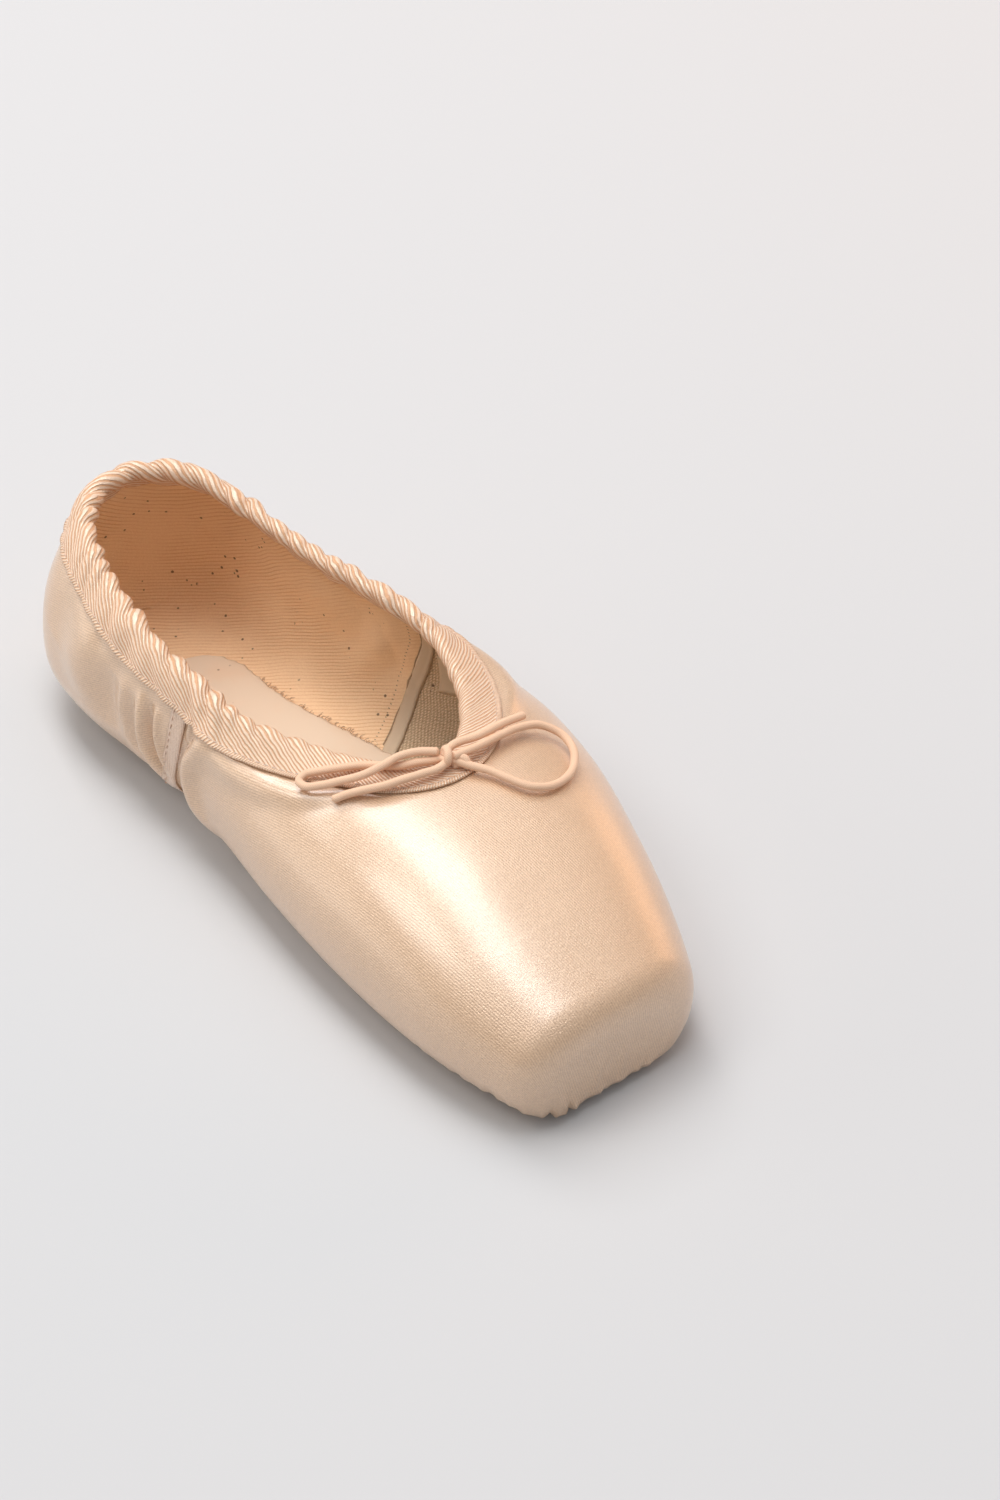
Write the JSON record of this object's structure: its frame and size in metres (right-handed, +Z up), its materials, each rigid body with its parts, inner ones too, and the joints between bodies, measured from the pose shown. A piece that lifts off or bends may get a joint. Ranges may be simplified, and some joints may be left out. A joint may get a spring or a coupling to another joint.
{
  "type": "pointe shoe",
  "caption": "Satin pointe shoe with a stiff box, flat platform, leather sole, bound collar and a drawstring tied in a bow.",
  "frame": {"origin": "middle of the shoe's box on the floor, under the waist", "axes": "+Z up, -Y towards the platform of the toe box, +Y towards the heel, X across the shoe"},
  "size_m": [0.0948, 0.232, 0.0583],
  "materials": {
    "satin": "peach satin over stiffened canvas, glossy along fine diagonal lines",
    "binding_tape": "herringbone cotton tape, gathered along the collar",
    "sock_lining": "matt natural cotton canvas, worn",
    "sole_leather": "matt brown split leather with a scraped face",
    "drawstring_cord": "matt braided elastic cord"
  },
  "bodies": {
    "root": {"outsole": "sole_leather", "upper": "satin", "insole": "sock_lining", "collar_binding": "binding_tape", "drawstring_knot": "drawstring_cord", "drawstring_loop_right": "drawstring_cord", "drawstring_loop_left": "drawstring_cord", "drawstring_end_right": "drawstring_cord", "drawstring_end_left": "drawstring_cord"}
  },
  "joints": []
}
